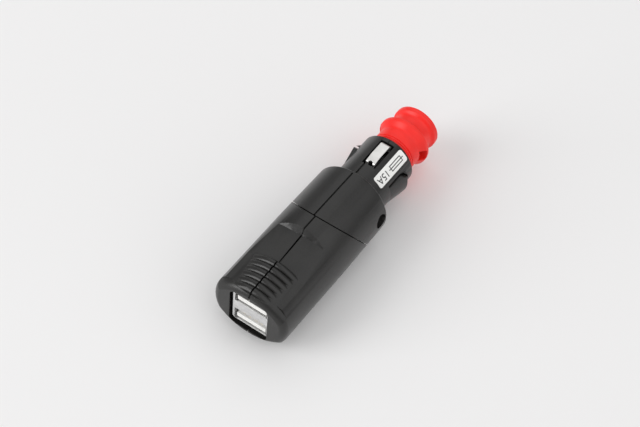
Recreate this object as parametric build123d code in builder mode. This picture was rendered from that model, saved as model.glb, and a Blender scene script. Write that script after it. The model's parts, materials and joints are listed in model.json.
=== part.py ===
from build123d import *
import os
from math import cos, radians, sin, sqrt, tan

os.makedirs("parts", exist_ok=True)

# Driving dimensions, millimetres and degrees
# Housing
body_diameter = 28.0
body_length = 58.8
taper_length = 22.8
shoulder_taper = 0.35
end_round = 2.5
shoulder_round = 0.8
body_wall = 2.2
end_wall = 2.6

# Oblique joint between the rear and the front housing
joint_setback = 13.4
joint_gap = 0.4
joint_tilt = 34.9
collar_length = 3.0
collar_root = 4.0
collar_wall = 1.4
bead_width = 1.0
bead_height = 0.5
bead_setback = 1.0

# Parting line between left and right shells, distance to the left of the middle
seam_gap = 0.2
rear_seam = 0.0
front_seam = 0.6
nose_seam = 1.4
tip_seam = 0.0
seam_jog = 1.1
seam_groove_width = 0.55
seam_groove_depth = 0.5

# Thumb flat and finger grip above and below the USB end; drops are counted from the body's surface
flat_rear_drop = 3.9
flat_front_drop = 2.4
flat_end = 28.1
flat_wall_lean = 1.4
flat_floor = 1.3
flat_crown_drop = 40.0
grip_count = 6
grip_pitch = 2.4
grip_first = 1.0
grip_rear_drop = 3.4
grip_front_drop = 2.5
grip_height = 0.8
grip_axis_drop = 2.0

# Window for the USB ports and the rounded rim above and below it
window_width = 14.6
window_top = 7.4
window_bottom = -9.0
window_corner = 2.0
rim_depth = 2.6
rim_drop = 2.45
rim_bulge = 0.72
rim_axis_drop = 6.0

# Nose that goes into the lighter socket
nose_diameter = 19.5
nose_length = 22.1
nose_wall = 2.0
nose_chamfer = 0.9
spigot_diameter = 12.0
spigot_length = 15.4
spigot_end_wall = 1.6
fuse_tube_wall = 1.4

# Spring wings moulded in the sides of the nose
wing_start = 8.0
wing_length = 9.8
wing_width = 7.6
wing_slot = 0.8
wing_height = 1.45
wing_lead = 1.6

# Leaf contacts above and below the nose
leaf_width = 3.4
leaf_thickness = 0.5
leaf_start = 8.2
leaf_length = 11.2
leaf_proud = 0.65
leaf_tail = 3.0
leaf_clearance = 0.35
leaf_side_gap = 0.9
leaf_lip_drop = 1.2
leaf_notch_diameter = 1.6

# Red bayonet adapter on the spigot
adapter_length = 17.5
adapter_neck_diameter = 16.0
adapter_flange_diameter = 19.3
adapter_waist_diameter = 14.4
adapter_end_diameter = 16.8
adapter_flange_start = 6.2
adapter_flange_rise = 2.0
adapter_flange_width = 1.4
adapter_flange_fall = 1.5
adapter_end_rise = 0.9
adapter_end_rim = 2.1
adapter_rim_round = 0.45
adapter_hollow_round = 1.3
adapter_mouth_diameter = 9.0
adapter_seat_gap = 0.2
running_clearance = 0.2
neck_groove_depth = 0.3
neck_groove_width = 0.35
neck_groove_spacing = 0.9

# Bayonet lugs on the spigot and their channels in the adapter
lug_height = 0.9
lug_length = 2.0
lug_angle = 20.0
lug_x = 6.6
lug_clearance = 0.25
lug_turn_clearance = 1.5
twist_angle = 35.0
adapter_window_width = 4.6

# Tip contact, fuse and spring on the axis
tip_diameter = 4.0
tip_round = 1.6
tip_protrusion = 2.6
tip_collar_diameter = 6.0
tip_collar_length = 1.6
tip_travel = 2.0
fuse_diameter = 5.2
fuse_length = 20.0
fuse_cap_length = 4.6
fuse_cap_wall = 0.35
fuse_glass_wall = 0.5
fuse_wire_diameter = 0.3
spring_closed_length = 5.0
spring_diameter = 4.9
spring_wire = 0.55
spring_turns = 5
spring_end_gap = 0.2
terminal_thickness = 0.6

# Rating label on the nose
label_length = 16.2
label_start = 4.4
label_from_angle = 26.0
label_to_angle = 52.0
label_thickness = 0.12
label_corner = 0.8

# Side screw
screw_setback = 3.6
screw_rise = 1.6
screw_head_diameter = 4.8
screw_head_height = 1.8
screw_recess = 2.6
screw_head_round = 0.45
screw_cross_length = 3.0
screw_cross_width = 0.8
screw_cross_depth = 0.9
screw_shank_diameter = 2.2
screw_length = 15.0
screw_clearance = 0.2
boss_diameter = 6.8

# Double USB port
usb_setback = 0.9
usb_shift = -0.4
usb_depth = 16.0
usb_wall = 0.3
usb_side_wall = 0.7
usb_corner = 1.2
port_width = 12.5
port_height = 5.12
port_pitch = 9.3
port_partition_depth = 12.6
tongue_width = 11.1
tongue_thickness = 1.84
tongue_gap = 0.56
tongue_setback = 0.5
contact_count = 4
contact_pitch = 2.3
contact_width = 1.0
contact_thickness = 0.2
contact_length = 7.5

# Circuit board and what stands on it
board_bottom = 7.65
board_thickness = 1.0
board_side_gap = 0.35
board_start = 2.9
board_end_gap = 0.5
board_edge_gap = 0.3
rail_width = 0.25
rail_height = 1.5
core_diameter = 8.4
core_bore = 3.8
core_height = 4.4
winding_wall = 0.7
winding_count = 10
capacitor_diameter = 5.0
capacitor_height = 7.7
capacitor_crimp = 0.4
chip_length = 2.8
chip_width = 4.4
chip_height = 1.1
diode_length = 2.6
diode_width = 4.0
diode_height = 1.1
ceramic_length = 2.0
ceramic_width = 1.25
ceramic_height = 1.2
resistor_length = 1.6
resistor_width = 0.8
resistor_height = 0.5
small_row_pitch = 1.9
small_row_count = 3
part_spacing = 0.6
lead_diameter = 1.3
lead_bend = 2.4
lead_side = 1.1
lead_stub = 0.3
lead_clearance = 0.6
lead_land = 2.0
part_gap = 0.1
part_chamfer = 0.2

# Places worked out from the driving dimensions
body_radius = body_diameter / 2
taper_start = body_length - taper_length
joint_x = body_length - joint_setback
shoulder_radius = body_radius - shoulder_taper
axis_height = body_radius
spring_length = spring_closed_length + tip_travel
nose_radius = nose_diameter / 2
spigot_radius = spigot_diameter / 2
nose_end = body_length + nose_length
spigot_end = nose_end + spigot_length
adapter_start = nose_end + adapter_seat_gap
adapter_end = adapter_start + adapter_length
overall_length = adapter_end + tip_protrusion
rear_x = -overall_length / 2
body_inner = body_radius - body_wall
front_inner = shoulder_radius - body_wall
nose_inner = nose_radius - nose_wall
bore_radius = tip_collar_diameter / 2 + running_clearance
fuse_tube_radius = bore_radius + fuse_tube_wall
collar_end_x = spigot_end - spigot_end_wall - seam_gap / 2
fuse_end = collar_end_x - tip_collar_length
fuse_start = fuse_end - fuse_length
terminal_x = fuse_start - spring_length
cavity_end = body_length - body_wall
nose_cavity_end = nose_end - nose_wall
collar_outer = front_inner - seam_gap
collar_inner = collar_outer - collar_wall
board_top = board_bottom + board_thickness
board_width = 2 * (sqrt(body_inner**2 - board_top**2) - board_side_gap)
board_end = joint_x - collar_root - board_top * tan(radians(joint_tilt)) - board_end_gap
usb_width = port_width + 2 * usb_side_wall
upper_ceiling = board_bottom - usb_wall
port_floors = (upper_ceiling - port_height, upper_ceiling - port_height - port_pitch)
lower_floor = port_floors[1]
usb_end = usb_setback + usb_depth
usb_left = usb_shift + usb_width / 2
usb_right = usb_shift - usb_width / 2
port_left = usb_shift + port_width / 2
port_right = usb_shift - port_width / 2

axis = Axis((rear_x, 0, axis_height), (1, 0, 0))
side_plane = Plane((rear_x, 0, axis_height), x_dir=(1, 0, 0), z_dir=(0, -1, 0))
top_plane = Plane((rear_x, 0, axis_height), x_dir=(1, 0, 0), z_dir=(0, 0, 1))


def cross_plane(x):
    """Plane across the plug's axis: local X runs to the left, local Y upwards."""
    return Plane((rear_x + x, 0, axis_height), x_dir=(0, 1, 0), z_dir=(1, 0, 0))


def joint_plane(shift):
    """Oblique plane of the housing joint, moved along the axis."""
    normal = (cos(radians(joint_tilt)), 0, sin(radians(joint_tilt)))
    return Plane((rear_x + joint_x + shift, 0, axis_height), x_dir=(0, 1, 0), z_dir=normal)


def place(x, y, z):
    """Point at a distance from the USB end, to the left of and above the axis."""
    return (rear_x + x, y, axis_height + z)


def rod(start, end, radius):
    """Solid cylinder on the plug's axis."""
    with BuildPart(mode=Mode.PRIVATE) as made:
        with BuildSketch(cross_plane(start)):
            Circle(radius)
        extrude(amount=end - start)
    return made.part


def tube(start, end, outer, inner):
    """Hollow cylinder on the plug's axis."""
    with BuildPart(mode=Mode.PRIVATE) as made:
        with BuildSketch(cross_plane(start)):
            Circle(outer)
            Circle(inner, mode=Mode.SUBTRACT)
        extrude(amount=end - start)
    return made.part


def block(x_from, x_to, y_from, y_to, z_from, z_to):
    """Box between two corners given from the USB end and the axis."""
    with BuildPart(mode=Mode.PRIVATE) as made:
        with Locations(place((x_from + x_to) / 2, (y_from + y_to) / 2, (z_from + z_to) / 2)):
            Box(x_to - x_from, y_to - y_from, z_to - z_from)
    return made.part


def oblique_slab(solid, shift_from, shift_to):
    """Part of a solid between two planes that lie along the housing joint."""
    with BuildPart(mode=Mode.PRIVATE) as made:
        add(solid)
        split(bisect_by=joint_plane(shift_from), keep=Keep.TOP)
        split(bisect_by=joint_plane(shift_to), keep=Keep.BOTTOM)
    return made.part


def finish(made, name):
    """Label one finished piece and write it out."""
    made.part.label = name
    export_step(made.part, f"parts/{name}.step")


def rear_seam_points(shift):
    """Parting line of the rear housing seen from above, moved to the left by a shift."""
    steps = [(-end_wall, rear_seam), (body_length, rear_seam)]
    return [(x, y + shift) for x, y in steps]


def front_seam_points(shift):
    """Parting line of the front housing seen from above, moved to the left by a shift."""
    jog_x = body_length + leaf_start + leaf_length / 2
    steps = [
        (joint_x - body_radius, front_seam),
        (body_length - seam_jog, front_seam),
        (body_length, nose_seam),
        (jog_x, nose_seam),
        (jog_x + seam_jog, tip_seam),
        (overall_length, tip_seam),
    ]
    return [(x, y + shift) for x, y in steps]


def side_of_seam(points, side):
    """Tall block that holds everything on one side of a parting line."""
    outside = side * body_diameter
    outline = points + [(points[-1][0], outside), (points[0][0], outside)]
    with BuildPart(mode=Mode.PRIVATE) as made:
        with BuildSketch(top_plane):
            with BuildLine():
                Polyline(*outline, close=True)
            make_face()
        extrude(amount=body_diameter, both=True)
    return made.part


# Housing outline that the rear and the front shells share
with BuildPart() as body_solid:
    with BuildSketch(side_plane):
        with BuildLine():
            Polyline(
                (0, 0),
                (0, body_radius),
                (taper_start, body_radius),
                (body_length, shoulder_radius),
                (body_length, 0),
                close=True,
            )
        make_face()
    revolve(axis=axis)
    rims = body_solid.edges().filter_by(GeomType.CIRCLE).sort_by(Axis.X)
    fillet(rims[0], radius=end_round)
    rims = body_solid.edges().filter_by(GeomType.CIRCLE).sort_by(Axis.X)
    fillet(rims[-1], radius=shoulder_round)

# Flats for thumb and finger: level under the grip, then rising to their leaning end walls
flat_rear_z = body_radius - flat_rear_drop
flat_front_z = body_radius - flat_front_drop
grip_end = grip_first + grip_count * grip_pitch
with BuildPart() as flat_cuts:
    for up in (1, -1):
        with BuildSketch(side_plane):
            with BuildLine():
                Polyline(
                    (-end_wall, up * flat_rear_z),
                    (grip_end - grip_pitch / 2, up * flat_rear_z),
                    (flat_end, up * flat_front_z),
                    (flat_end + flat_wall_lean, up * body_radius),
                    (flat_end + flat_wall_lean, up * body_diameter),
                    (-end_wall, up * body_diameter),
                    close=True,
                )
            make_face()
        revolve(axis=Axis(place(0, 0, -up * flat_crown_drop), (1, 0, 0)))


def grip_valley(count):
    """Height of the valley after a number of ribs; the last one falls to the flat."""
    if count == grip_count:
        return flat_rear_z
    share = count / grip_count
    return body_radius - grip_rear_drop + share * (grip_rear_drop - grip_front_drop)


roof_z = flat_rear_z - flat_floor


def grip_ribs(up):
    """Rounded ribs of one grip, low arcs that rise towards the front and run out into the flat."""
    with BuildPart(mode=Mode.PRIVATE) as made:
        with BuildSketch(side_plane):
            for count in range(grip_count):
                near_x = grip_first + count * grip_pitch
                far_x = near_x + grip_pitch
                near_z = up * grip_valley(count)
                far_z = up * grip_valley(count + 1)
                crest = (near_x + grip_pitch / 2, near_z + up * grip_height)
                with BuildLine():
                    ThreePointArc((near_x, near_z), crest, (far_x, far_z))
                    Polyline((far_x, far_z), (far_x, up * roof_z), (near_x, up * roof_z), (near_x, near_z))
                make_face()
        revolve(axis=Axis(place(0, 0, -up * grip_axis_drop), (1, 0, 0)))
        low, high = sorted((up * roof_z, up * body_radius))
        add(block(0, body_length, -body_radius, body_radius, low, high), mode=Mode.INTERSECT)
        add(body_solid.part, mode=Mode.INTERSECT)
    return made.part


# Rounded rim above and below the window, each round about an axis beyond the plug's own
with BuildPart() as rim_cuts:
    for edge, up in ((window_top, 1), (window_bottom, -1)):
        rim_top = up * (body_radius - rim_drop)
        with BuildSketch(side_plane):
            with BuildLine():
                Polyline(
                    (rim_depth, rim_top),
                    (rim_depth, up * body_radius),
                    (-end_wall, up * body_radius),
                    (-end_wall, edge),
                    (0, edge),
                )
                bulge_x = (1 - rim_bulge) * rim_depth
                bulge_z = edge + rim_bulge * (rim_top - edge)
                ThreePointArc((0, edge), (bulge_x, bulge_z), (rim_depth, rim_top))
            make_face()
        revolve(axis=Axis(place(0, 0, -up * rim_axis_drop), (1, 0, 0)))

# Collar on the rear housing that the front shells close around
with BuildPart() as collar:
    add(oblique_slab(tube(0, overall_length, collar_outer, collar_inner), -collar_root, collar_length))
    bead = tube(0, overall_length, collar_outer + bead_height, collar_inner)
    add(oblique_slab(bead, bead_setback, bead_setback + bead_width))

# Rails under the edges of the circuit board
with BuildPart() as rails:
    add(rod(end_wall, board_end, body_inner + seam_gap))
    with BuildSketch(cross_plane(end_wall)):
        for side in (1, -1):
            with Locations((side * body_radius, board_bottom - rail_height / 2)):
                Rectangle(body_diameter - board_width + 2 * rail_width, rail_height)
    extrude(amount=board_end - end_wall, mode=Mode.INTERSECT)

# Solid backing of the flats inside the rear housing
backing_end = flat_end + body_wall
with BuildPart() as flat_backing:
    add(rod(end_wall, backing_end, body_inner + seam_gap))
    with BuildSketch(cross_plane(end_wall)):
        Rectangle(body_diameter, 2 * body_diameter)
        Rectangle(body_diameter, 2 * roof_z, mode=Mode.SUBTRACT)
    extrude(amount=backing_end - end_wall, mode=Mode.INTERSECT)
    split(bisect_by=joint_plane(-joint_gap / 2), keep=Keep.BOTTOM)

# Groove along the parting line of the rear housing
with BuildPart() as rear_groove:
    left = rear_seam + seam_groove_width / 2
    right = rear_seam - seam_groove_width / 2
    groove_floor = flat_rear_z - seam_groove_depth
    add(block(-end_wall, body_length, right, left, -body_radius, body_radius))
    add(rod(seam_groove_depth, overall_length, body_radius - seam_groove_depth), mode=Mode.SUBTRACT)
    add(block(-end_wall, flat_end, right, left, groove_floor, body_radius))
    add(block(-end_wall, flat_end, right, left, -body_radius, -groove_floor))

# Rear housing before it is parted
with BuildPart() as rear_housing:
    add(body_solid.part)
    split(bisect_by=joint_plane(-joint_gap / 2), keep=Keep.BOTTOM)
    room = rod(end_wall, overall_length, body_inner)
    add(oblique_slab(room, -overall_length, -collar_root), mode=Mode.SUBTRACT)
    add(rod(end_wall, overall_length, collar_inner), mode=Mode.SUBTRACT)
    add(collar.part)
    add(flat_backing.part)
    add(flat_cuts.part, mode=Mode.SUBTRACT)
    add(grip_ribs(1))
    add(grip_ribs(-1))
    add(rim_cuts.part, mode=Mode.SUBTRACT)
    with BuildSketch(cross_plane(-end_wall)):
        with Locations((0, (window_top + window_bottom) / 2)):
            RectangleRounded(window_width, window_top - window_bottom, window_corner)
    extrude(amount=2 * end_wall, mode=Mode.SUBTRACT)
    usb_pocket = block(
        usb_setback - part_gap,
        end_wall,
        usb_right - part_gap,
        usb_left + part_gap,
        lower_floor - usb_wall - part_gap,
        board_bottom + part_gap,
    )
    add(usb_pocket, mode=Mode.SUBTRACT)
    add(rails.part)


def sector(radius, first, last):
    """Pie slice of a cross section, between two angles counted from the left."""
    with BuildSketch(Plane.XY, mode=Mode.PRIVATE) as made:
        with BuildLine():
            CenterArc((0, 0), radius, first, last - first)
            Line((0, 0), (radius * cos(radians(first)), radius * sin(radians(first))))
            Line((0, 0), (radius * cos(radians(last)), radius * sin(radians(last))))
        make_face()
    return made.sketch_local


# Bayonet lugs on the left and the right of the spigot
lug_from = nose_end + lug_x
with BuildPart() as lugs:
    with BuildSketch(cross_plane(lug_from)):
        for turn in (0, 180):
            add(sector(spigot_radius + lug_height, turn - lug_angle / 2, turn + lug_angle / 2))
        Circle(spigot_radius - lug_height, mode=Mode.SUBTRACT)
    extrude(amount=lug_length)

# Spring wings: wedges that follow the nose's round on its left and right
wing_x = body_length + wing_start
wing_end = wing_x + wing_length
with BuildPart() as wings:
    with BuildSketch(side_plane):
        with BuildLine():
            Polyline(
                (wing_x, nose_radius - nose_wall / 2),
                (wing_x, nose_radius),
                (wing_end - wing_lead, nose_radius + wing_height),
                (wing_end, nose_radius),
                (wing_end, nose_radius - nose_wall / 2),
                close=True,
            )
        make_face()
    revolve(axis=axis)
    wing_half = wing_width / 2
    add(block(wing_x, wing_end, -body_radius, body_radius, -wing_half, wing_half), mode=Mode.INTERSECT)

# Slots that free the wings on three sides, each with a round front end
with BuildPart() as wing_slots:
    slot_half = wing_half + wing_slot
    slot_turn = wing_end + wing_slot - slot_half
    with BuildSketch(side_plane):
        with Locations((slot_turn, 0)):
            Circle(slot_half)
            Circle(slot_half - wing_slot, mode=Mode.SUBTRACT)
            with Locations((-slot_half, 0)):
                Rectangle(2 * slot_half, 2 * slot_half, mode=Mode.SUBTRACT)
        for up in (1, -1):
            with Locations(((wing_x + slot_turn) / 2, up * (slot_half - wing_slot / 2))):
                Rectangle(slot_turn - wing_x, wing_slot)
    extrude(amount=body_radius, both=True)
    inside = nose_inner - nose_wall
    add(block(wing_x, wing_end + wing_slot, -inside, inside, -slot_half, slot_half), mode=Mode.SUBTRACT)

# Groove along the parting line of the front housing
with BuildPart() as front_groove:
    for groove_from, groove_to, line_y, reach in (
        (0, body_length - seam_jog, front_seam, shoulder_radius - seam_groove_depth),
        (body_length, body_length + leaf_start, nose_seam, nose_radius - seam_groove_depth),
    ):
        left = line_y + seam_groove_width / 2
        right = line_y - seam_groove_width / 2
        add(block(groove_from, groove_to, right, left, -body_radius, body_radius))
        add(block(groove_from, groove_to, right, left, -reach, reach), mode=Mode.SUBTRACT)

# Front housing with the nose and the spigot, before it is parted
with BuildPart() as front_housing:
    add(body_solid.part)
    add(rod(cavity_end, nose_end, nose_radius))
    tip_rim = front_housing.edges().filter_by(GeomType.CIRCLE).sort_by(Axis.X)[-1]
    chamfer(tip_rim, length=nose_chamfer)
    add(rod(nose_cavity_end, spigot_end, spigot_radius))
    split(bisect_by=joint_plane(joint_gap / 2), keep=Keep.TOP)
    add(rod(0, cavity_end, front_inner), mode=Mode.SUBTRACT)
    groove = tube(0, cavity_end, collar_outer + bead_height + seam_gap, collar_inner)
    groove_from = bead_setback - seam_gap
    add(oblique_slab(groove, groove_from, groove_from + bead_width + 2 * seam_gap), mode=Mode.SUBTRACT)
    add(rod(0, nose_cavity_end, nose_inner), mode=Mode.SUBTRACT)
    add(rod(terminal_x, nose_cavity_end, fuse_tube_radius))
    add(rod(terminal_x - seam_gap, spigot_end - spigot_end_wall, bore_radius), mode=Mode.SUBTRACT)
    pin_hole = rod(nose_end, spigot_end + seam_gap, tip_diameter / 2 + running_clearance)
    add(pin_hole, mode=Mode.SUBTRACT)
    add(lugs.part)

    add(wings.part)
    add(wing_slots.part, mode=Mode.SUBTRACT)

    # Windows for the leaf contacts
    leaf_x = body_length + leaf_start
    for up in (1, -1):
        near = up * (fuse_tube_radius + nose_inner) / 2
        far = up * body_radius
        leaf_window = block(
            leaf_x - leaf_clearance,
            leaf_x + leaf_length + leaf_clearance,
            -leaf_width / 2 - leaf_side_gap,
            leaf_width / 2 + leaf_side_gap,
            min(near, far),
            max(near, far),
        )
        add(leaf_window, mode=Mode.SUBTRACT)

    # Boss for the side screw, with its recess, clearance hole and pilot hole
    screw_x = body_length - screw_setback
    boss_reach = sqrt(front_inner**2 - (boss_diameter / 2 + screw_rise) ** 2)
    screw_plane = Plane(place(screw_x, 0, screw_rise), x_dir=(1, 0, 0), z_dir=(0, -1, 0))
    with BuildSketch(screw_plane):
        Circle(boss_diameter / 2)
    extrude(amount=boss_reach + seam_gap, both=True)
    head_seat = body_radius - screw_recess - screw_head_height
    with BuildSketch(screw_plane.offset(head_seat)):
        Circle(screw_head_diameter / 2 + screw_clearance)
    extrude(amount=body_radius, mode=Mode.SUBTRACT)
    with BuildSketch(screw_plane):
        Circle(screw_shank_diameter / 2 + screw_clearance)
    extrude(amount=body_radius, mode=Mode.SUBTRACT)
    with BuildSketch(screw_plane):
        Circle(screw_shank_diameter / 2)
    pilot_depth = screw_length - head_seat + screw_clearance
    extrude(amount=-pilot_depth, mode=Mode.SUBTRACT)
    add(front_groove.part, mode=Mode.SUBTRACT)

# Shells, parted along their seams
for side, side_name in ((1, "left"), (-1, "right")):
    with BuildPart() as rear_shell:
        add(rear_housing.part)
        add(rear_groove.part, mode=Mode.SUBTRACT)
        add(side_of_seam(rear_seam_points(side * seam_gap / 2), side), mode=Mode.INTERSECT)
    finish(rear_shell, f"rear_shell_{side_name}")

    with BuildPart() as front_shell:
        add(front_housing.part)
        add(side_of_seam(front_seam_points(side * seam_gap / 2), side), mode=Mode.INTERSECT)
    finish(front_shell, f"front_shell_{side_name}")

# Side screw that draws the front shells together
with BuildPart() as housing_screw:
    with BuildSketch(screw_plane.offset(head_seat)):
        Circle(screw_head_diameter / 2)
    extrude(amount=screw_head_height)
    head_rim = housing_screw.faces().sort_by(Axis.Y)[0].edges()
    fillet(head_rim, radius=screw_head_round)
    with BuildSketch(screw_plane.offset(head_seat)):
        Circle(screw_shank_diameter / 2)
    extrude(amount=-screw_length)
    with BuildSketch(screw_plane.offset(head_seat + screw_head_height)):
        Rectangle(screw_cross_length, screw_cross_width)
        Rectangle(screw_cross_width, screw_cross_length)
    extrude(amount=-screw_cross_depth, mode=Mode.SUBTRACT)
finish(housing_screw, "housing_screw")

# Red adapter, turned outline with flange, waist and end rim
same_size = 0.001
adapter_bore = spigot_radius + running_clearance
flange_from = adapter_start + adapter_flange_start
flange_top = flange_from + adapter_flange_rise
flange_to = flange_top + adapter_flange_width
end_rim_from = adapter_end - adapter_end_rim
channel_radius = spigot_radius + lug_height + lug_clearance
channel_from = lug_from - lug_clearance
channel_to = lug_from + lug_length + lug_clearance
lug_margin = lug_angle / 2 + lug_turn_clearance
with BuildPart() as bayonet_adapter:
    with BuildSketch(side_plane):
        with BuildLine():
            Polyline(
                (adapter_start, adapter_bore),
                (adapter_start, adapter_neck_diameter / 2),
                (flange_from, adapter_neck_diameter / 2),
                (flange_top, adapter_flange_diameter / 2),
                (flange_to, adapter_flange_diameter / 2),
                (flange_to + adapter_flange_fall, adapter_waist_diameter / 2),
                (end_rim_from - adapter_end_rise, adapter_waist_diameter / 2),
                (end_rim_from, adapter_end_diameter / 2),
                (adapter_end, adapter_end_diameter / 2),
                (adapter_end, adapter_mouth_diameter / 2),
                (spigot_end + running_clearance, adapter_mouth_diameter / 2),
                (spigot_end + running_clearance, adapter_bore),
                close=True,
            )
        make_face()
    revolve(axis=axis)
    rims = bayonet_adapter.edges().filter_by(GeomType.CIRCLE)
    flange_rims = rims.filter_by(lambda rim: abs(rim.radius - adapter_flange_diameter / 2) < same_size)
    end_rims = rims.filter_by(lambda rim: abs(rim.radius - adapter_end_diameter / 2) < same_size)
    fillet(flange_rims + end_rims, radius=adapter_rim_round)
    rims = bayonet_adapter.edges().filter_by(GeomType.CIRCLE)
    waist_rims = rims.filter_by(lambda rim: abs(rim.radius - adapter_waist_diameter / 2) < same_size)
    neck_rims = rims.filter_by(lambda rim: abs(rim.radius - adapter_neck_diameter / 2) < same_size)
    fillet(waist_rims + [neck_rims.sort_by(Axis.X)[-1]], radius=adapter_hollow_round)

    # Channel in which each lug is caught, the entry that leads to it and a window above it
    with BuildSketch(cross_plane(channel_from)):
        for turn in (0, 180):
            add(sector(channel_radius, turn - lug_margin - twist_angle, turn + lug_margin))
    extrude(amount=channel_to - channel_from, mode=Mode.SUBTRACT)
    with BuildSketch(cross_plane(adapter_start)):
        for turn in (0, 180):
            add(sector(channel_radius, turn - lug_margin - twist_angle, turn + lug_margin - twist_angle))
    extrude(amount=channel_to - adapter_start, mode=Mode.SUBTRACT)
    for side in (1, -1):
        near = side * adapter_bore
        far = side * adapter_flange_diameter
        flange_window = block(
            channel_from,
            channel_to,
            min(near, far),
            max(near, far),
            -adapter_window_width / 2,
            adapter_window_width / 2,
        )
        add(flange_window, mode=Mode.SUBTRACT)

    # Fine grooves round the neck
    neck_radius = adapter_neck_diameter / 2
    for count in (1, 2):
        groove_x = adapter_start + count * neck_groove_spacing
        groove_bottom = neck_radius - neck_groove_depth
        neck_groove = tube(groove_x, groove_x + neck_groove_width, neck_radius + seam_gap, groove_bottom)
        add(neck_groove, mode=Mode.SUBTRACT)
finish(bayonet_adapter, "bayonet_adapter")

# Rating label, a sheet that follows the nose
with BuildPart() as rating_label:
    label_x = body_length + label_start
    add(tube(label_x, label_x + label_length, nose_radius + label_thickness, nose_radius))
    middle_angle = radians((label_from_angle + label_to_angle) / 2)
    label_half = radians((label_to_angle - label_from_angle) / 2)
    label_width = 2 * nose_radius * sin(label_half)
    facing = (0, -sin(middle_angle), cos(middle_angle))
    label_plane = Plane(place(label_x + label_length / 2, 0, 0), x_dir=(1, 0, 0), z_dir=facing)
    with BuildSketch(label_plane):
        RectangleRounded(label_length, label_width, label_corner)
    extrude(amount=body_radius, mode=Mode.INTERSECT)
finish(rating_label, "rating_label")

# Leaf contacts: tail under the nose wall, rise, crown and front lip
crown_z = nose_radius + leaf_proud - leaf_thickness / 2
tail_z = sqrt(nose_inner**2 - (leaf_width / 2) ** 2) - leaf_clearance - leaf_thickness / 2
tail_x = leaf_x - leaf_tail
leaf_end = leaf_x + leaf_length - leaf_thickness / 2
for up, leaf_name in ((1, "contact_spring_top"), (-1, "contact_spring_bottom")):
    with BuildPart() as contact_spring:
        with BuildSketch(side_plane):
            with BuildLine():
                FilletPolyline(
                    (tail_x, up * tail_z),
                    (leaf_x + leaf_thickness, up * tail_z),
                    (leaf_x + 2 * leaf_thickness, up * (crown_z - leaf_proud)),
                    (leaf_x + leaf_length / 3, up * crown_z),
                    (leaf_end - leaf_lip_drop, up * crown_z),
                    (leaf_end, up * (crown_z - leaf_lip_drop)),
                    (leaf_end, up * (tail_z - leaf_thickness)),
                    radius=leaf_thickness,
                )
                offset(amount=leaf_thickness / 2, side=Side.BOTH)
            make_face()
        extrude(amount=leaf_width / 2, both=True)
        with BuildSketch(top_plane):
            with Locations((leaf_x + leaf_notch_diameter / 2, 0)):
                Circle(leaf_notch_diameter / 2)
        extrude(amount=up * body_radius, mode=Mode.SUBTRACT)
    finish(contact_spring, leaf_name)

# Ring that joins the two leaf contacts
ring_outer = nose_inner - leaf_clearance
ring_inner = fuse_tube_radius + leaf_clearance
ring_to = tail_x - leaf_thickness / 2 - seam_gap / 2
ring_from = ring_to - terminal_thickness
with BuildPart() as ground_ring:
    add(tube(ring_from, ring_to, ring_outer, ring_inner))
finish(ground_ring, "ground_ring")

# Tip contact: rounded pin with a collar
with BuildPart() as tip_contact:
    add(rod(fuse_end, collar_end_x, tip_collar_diameter / 2))
    add(rod(collar_end_x, overall_length, tip_diameter / 2))
    tip_rim = tip_contact.edges().filter_by(GeomType.CIRCLE).sort_by(Axis.X)[-1]
    fillet(tip_rim, radius=tip_round)
finish(tip_contact, "tip_contact")

# Fuse: glass tube, two caps and the wire
glass_radius = fuse_diameter / 2 - fuse_cap_wall - seam_gap / 4
with BuildPart() as fuse_glass:
    glass_inner = glass_radius - fuse_glass_wall
    add(tube(fuse_start + fuse_cap_wall, fuse_end - fuse_cap_wall, glass_radius, glass_inner))
finish(fuse_glass, "fuse_glass")

with BuildPart() as fuse_caps:
    for cap_from in (fuse_start, fuse_end - fuse_cap_length):
        add(rod(cap_from, cap_from + fuse_cap_length, fuse_diameter / 2))
    hollow_to = fuse_end - fuse_cap_wall
    add(rod(fuse_start + fuse_cap_wall, hollow_to, fuse_diameter / 2 - fuse_cap_wall), mode=Mode.SUBTRACT)
finish(fuse_caps, "fuse_caps")

with BuildPart() as fuse_wire:
    add(rod(fuse_start + fuse_cap_wall, hollow_to, fuse_wire_diameter / 2))
finish(fuse_wire, "fuse_wire")

# Coil spring behind the fuse
with BuildPart() as tip_spring:
    coil_radius = (spring_diameter - spring_wire) / 2
    coil_height = spring_length - 2 * spring_end_gap - spring_wire
    coil_start = cross_plane(terminal_x + spring_end_gap + spring_wire / 2)
    with BuildLine():
        coil = Helix(
            pitch=coil_height / spring_turns,
            height=coil_height,
            radius=coil_radius,
            center=coil_start.origin,
            direction=(1, 0, 0),
        )
    with BuildSketch(Plane(coil @ 0, z_dir=coil % 0)):
        Circle(spring_wire / 2)
    sweep(path=coil)
finish(tip_spring, "tip_spring")

# Terminal plate that the spring stands on
with BuildPart() as spring_terminal:
    add(rod(terminal_x - terminal_thickness, terminal_x, fuse_tube_radius - seam_gap))
finish(spring_terminal, "spring_terminal")

# Leads from the terminals back to the board
lead_land_x = board_end - lead_land
ring_middle = (ring_outer + ring_inner) / 2
boss_pass = (boss_diameter + lead_diameter) / 2 + lead_clearance
leads = (
    ("supply_lead", terminal_x - terminal_thickness, lead_side, screw_rise - boss_pass),
    ("ground_lead", ring_from, -lead_side, sqrt(ring_middle**2 - lead_side**2)),
)
for lead_name, lead_from, lead_y, lead_z in leads:
    lead_plane = side_plane.offset(-lead_y)
    bend = min(lead_bend, board_bottom - lead_z - lead_stub)
    with BuildPart() as lead:
        with BuildLine(lead_plane):
            route = FilletPolyline(
                (lead_from, lead_z), (lead_land_x, lead_z), (lead_land_x, board_bottom), radius=bend
            )
        with BuildSketch(Plane(route @ 0, z_dir=route % 0)):
            Circle(lead_diameter / 2)
        sweep(path=route)
    finish(lead, lead_name)

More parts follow.
